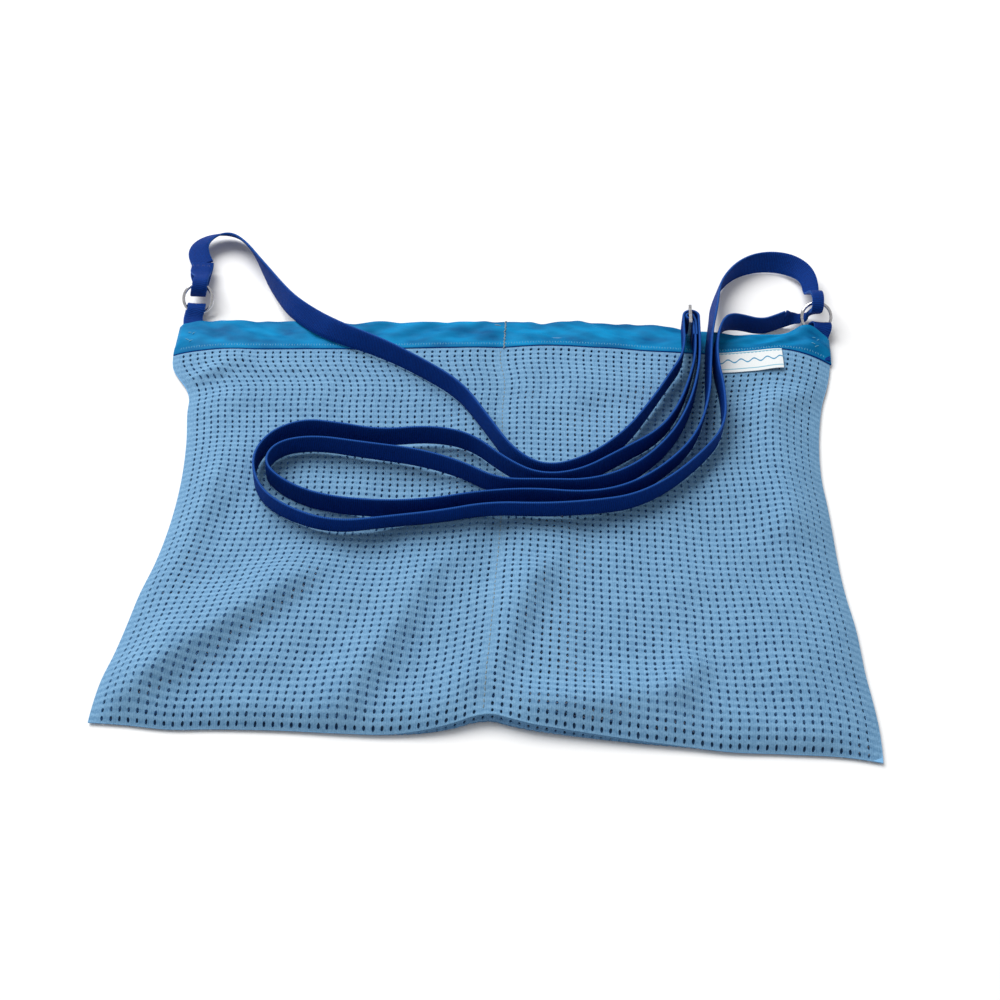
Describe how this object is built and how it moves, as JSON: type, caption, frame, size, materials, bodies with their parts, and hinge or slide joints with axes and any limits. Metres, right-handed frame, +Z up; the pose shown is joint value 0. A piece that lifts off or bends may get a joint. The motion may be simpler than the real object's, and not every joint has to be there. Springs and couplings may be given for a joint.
{
  "type": "mesh shoulder bag",
  "caption": "Small flat shoulder bag of perforated knit with a satin-bound mouth, a centre seam, and one adjustable webbing strap on two rings and a slider, lying on its back.",
  "frame": {"origin": "on the surface that the bag lies on, under the middle of the bag and its two rings, without the loose strap", "axes": "+X to the bag's right across its width, +Y along the bag towards its mouth, +Z up out of the front panel"},
  "size_m": [0.3568, 0.3308, 0.0252],
  "materials": {
    "mesh_knit": "matt perforated knit",
    "seam_knit": "matt folded knit",
    "binding_satin": "satin",
    "pale_thread": "thread",
    "grey_thread": "thread",
    "strap_thread": "thread",
    "label_cloth": "woven satin label",
    "webbing": "ribbed woven webbing",
    "ring_metal": "polished nickel"
  },
  "bodies": {
    "bag": {"back_panel": "mesh_knit", "front_panel": "mesh_knit", "left_side_seam": "seam_knit", "right_side_seam": "seam_knit", "bottom_seam": "seam_knit", "front_binding": "binding_satin", "back_binding": "binding_satin", "front_binding_thread": "pale_thread", "back_binding_thread": "pale_thread", "centre_seam_thread": "grey_thread", "centre_bartack": "grey_thread", "left_tab_thread": "pale_thread", "right_tab_thread": "pale_thread", "woven_label": "label_cloth", "label_thread": "pale_thread", "left_ring_tab": "webbing", "right_ring_tab": "webbing", "strap_ring_loop": "webbing", "strap_ring_thread": "strap_thread", "strap_ring_turn": "webbing", "strap_left_run": "webbing", "strap_middle_run": "webbing", "strap_right_run": "webbing"},
    "left_ring": {"left_ring": "ring_metal"},
    "right_ring": {"right_ring": "ring_metal"},
    "slider": {"slider_frame": "ring_metal", "strap_slider_loop": "webbing", "strap_slider_thread": "strap_thread", "strap_slider_turn": "webbing"}
  },
  "joints": [
    {"name": "left_ring_swing", "type": "hinge", "parent": "bag", "child": "left_ring", "pos_m": [-0.1695, 0.12737, 0.00323], "axis": [1, 0, 0], "range_deg": [-15, 0]},
    {"name": "right_ring_swing", "type": "hinge", "parent": "bag", "child": "right_ring", "pos_m": [0.1695, 0.12737, 0.00323], "axis": [1, 0, 0], "range_deg": [-7, 0]},
    {"name": "slider_slide", "type": "slide", "parent": "bag", "child": "slider", "axis": [0, 1, 0], "range_m": [0, 0.015]}
  ]
}
